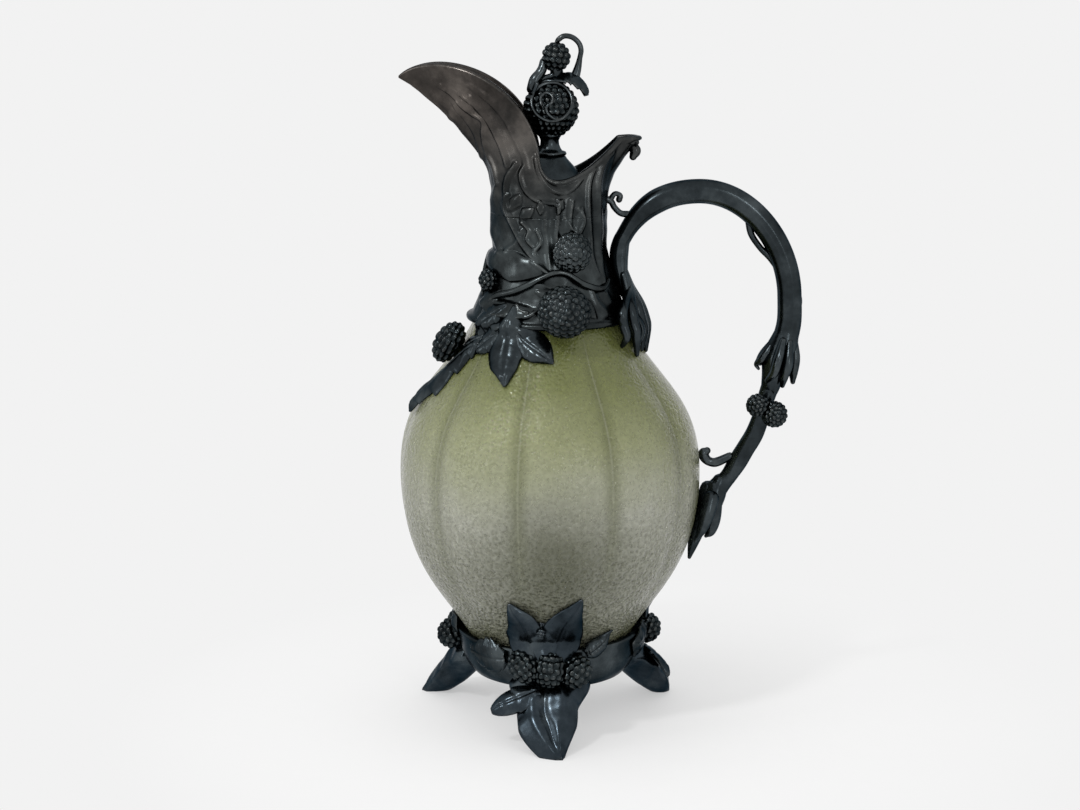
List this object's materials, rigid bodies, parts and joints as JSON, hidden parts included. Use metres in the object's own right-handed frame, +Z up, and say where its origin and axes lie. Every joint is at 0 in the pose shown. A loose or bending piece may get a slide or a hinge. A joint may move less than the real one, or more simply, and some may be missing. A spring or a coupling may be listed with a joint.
{
  "type": "claret jug",
  "caption": "Claret jug with a lobed glass body, dark cast bramble mounts, tall pouring lip, arched handle, leaf feet and a lift-out conical lid with a berry finial.",
  "frame": {"origin": "middle of the bounding box at floor level, where the three feet stand; the jug's own axis is 27 mm towards -X from it", "axes": "+Z up; the pouring lip points to -X and the handle to +X; the jug is almost the same on both sides of Y = 0"},
  "size_m": [0.2094, 0.1578, 0.36],
  "materials": {
    "glass": "pebbled, olive at the shoulder and clear grey below",
    "metal": "dark oxidised cast metal with glossy highlights",
    "berry_metal": "dark oxidised cast metal, polished on the drupelets"
  },
  "bodies": {
    "jug": {"glass_body": "glass", "neck_sleeve": "metal", "spout": "metal", "lid_seat": "metal", "cup": "metal", "handle": "metal", "handle_stem": "metal", "handle_foot_leaf": "metal", "handle_curl": "metal", "handle_loop": "metal", "handle_tendril": "metal", "handle_berry_inner": "berry_metal", "handle_berry_outer": "berry_metal", "vine_front": "metal", "vine_left": "metal", "vine_branch": "metal", "shoulder_leaf_front": "metal", "shoulder_leaf_left": "metal", "shoulder_leaf_back": "metal", "shoulder_berry_front": "berry_metal", "shoulder_berry_left": "berry_metal", "neck_berry_front": "berry_metal", "neck_berry_left": "berry_metal", "foot_1": "metal", "foot_2": "metal", "foot_3": "metal", "foot_leaf_1": "metal", "foot_leaf_2": "metal", "foot_leaf_3": "metal", "foot_side_leaves_1": "metal", "foot_side_leaves_2": "metal", "foot_side_leaves_3": "metal", "foot_berries_1": "berry_metal", "foot_berries_2": "berry_metal", "foot_berries_3": "berry_metal"},
    "lid": {"lid_cone": "metal", "lid_skirt": "metal", "finial_stem": "metal", "finial_berry": "berry_metal", "finial_twig": "metal", "finial_bud": "berry_metal", "finial_loop": "metal", "finial_leaf": "metal", "finial_tendril": "metal"}
  },
  "joints": [
    {"name": "lid_lift", "type": "slide", "parent": "jug", "child": "lid", "axis": [0, 0, 1], "range_m": [0, 0.085]}
  ]
}
